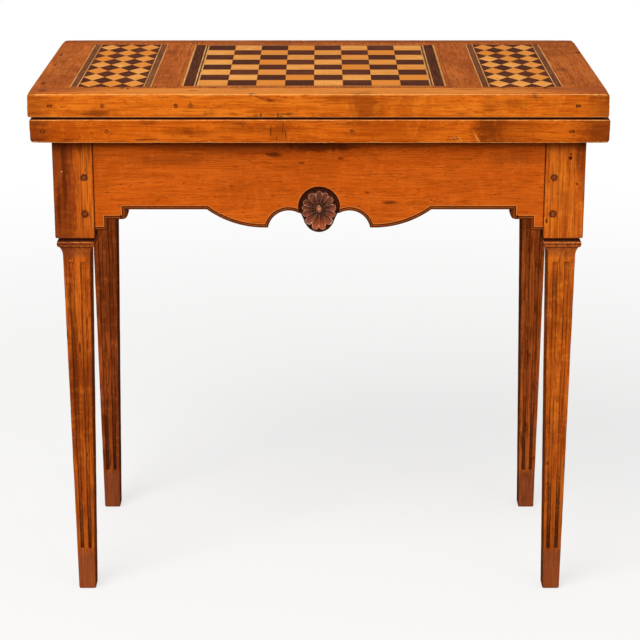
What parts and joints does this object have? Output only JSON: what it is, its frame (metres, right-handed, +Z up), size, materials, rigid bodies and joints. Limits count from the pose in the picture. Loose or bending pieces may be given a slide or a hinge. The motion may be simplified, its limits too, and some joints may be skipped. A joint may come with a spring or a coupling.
{
  "type": "games table",
  "caption": "Fold-over games table with an inlaid chessboard and lozenge panels, a shaped apron with a carved rosette, fluted square legs and swinging rear gates.",
  "frame": {"origin": "on the floor, under the middle of the closed table", "axes": "+X to the right seen from the front, +Y to the back, where the leaf folds out, +Z up"},
  "size_m": [0.792, 0.4359, 0.75],
  "materials": {
    "leaf_cherry": "waxed cherry, worn at the edges",
    "frame_cherry": "waxed cherry",
    "rosette_wood": "waxed and darkened in the carving",
    "inner_wood": "planed, unfinished",
    "peg_wood": "end grain, waxed",
    "pale_inlay": "pale fruitwood veneer, waxed",
    "dark_inlay": "dark veneer, waxed",
    "brown_inlay": "mid brown veneer, waxed",
    "green_baize": "napped wool cloth",
    "brass": "aged",
    "iron": "dull"
  },
  "bodies": {
    "frame": {"front_leg_left": "frame_cherry", "front_leg_right": "frame_cherry", "front_apron": "frame_cherry", "rosette": "rosette_wood", "side_apron_left": "frame_cherry", "side_apron_right": "frame_cherry", "frame_pegs": "peg_wood", "inner_back_rail": "inner_wood", "gate_hinge_block": "inner_wood", "hinge_block_screws": "iron", "glue_blocks": "inner_wood", "leaf_screws": "iron", "gate_pin_left": "iron", "gate_pin_right": "iron", "lower_front_rail": "leaf_cherry", "lower_back_rail": "leaf_cherry", "lower_left_board": "leaf_cherry", "lower_middle_board": "leaf_cherry", "lower_right_board": "leaf_cherry", "lower_edge_pins": "peg_wood", "lower_baize": "green_baize", "lower_hinge_plates": "brass", "lower_hinge_screws": "iron", "leaf_hinge_pins": "brass"},
    "upper_leaf": {"upper_front_rail": "leaf_cherry", "upper_back_rail": "leaf_cherry", "upper_left_board": "leaf_cherry", "upper_middle_board": "leaf_cherry", "upper_right_board": "leaf_cherry", "upper_edge_pins": "peg_wood", "upper_baize": "green_baize", "upper_hinge_plates": "brass", "upper_hinge_screws": "iron", "chess_light_squares": "pale_inlay", "chess_dark_squares": "dark_inlay", "chess_dark_bands": "dark_inlay", "chess_pale_lines": "pale_inlay", "chess_dark_lines": "dark_inlay", "left_light_lozenges": "pale_inlay", "left_dark_lozenges": "dark_inlay", "right_light_lozenges": "pale_inlay", "right_dark_lozenges": "dark_inlay", "panel_pale_lines": "pale_inlay", "panel_brown_strips": "brown_inlay"},
    "left_gate": {"fly_rail_left": "frame_cherry", "rear_leg_left": "frame_cherry", "gate_pegs_left": "peg_wood"},
    "right_gate": {"fly_rail_right": "frame_cherry", "rear_leg_right": "frame_cherry", "gate_pegs_right": "peg_wood"}
  },
  "joints": [
    {"name": "leaf_fold", "type": "hinge", "parent": "frame", "child": "upper_leaf", "pos_m": [0, 0.21435, 0.7159], "axis": [-1, 0, 0], "range_deg": [0, 180]},
    {"name": "left_gate_swing", "type": "hinge", "parent": "frame", "child": "left_gate", "pos_m": [-0.11, 0.13305, 0.6323], "axis": [0, 0, -1], "range_deg": [0, 90]},
    {"name": "right_gate_swing", "type": "hinge", "parent": "frame", "child": "right_gate", "pos_m": [0.11, 0.13305, 0.6323], "axis": [0, 0, 1], "range_deg": [0, 90]}
  ]
}
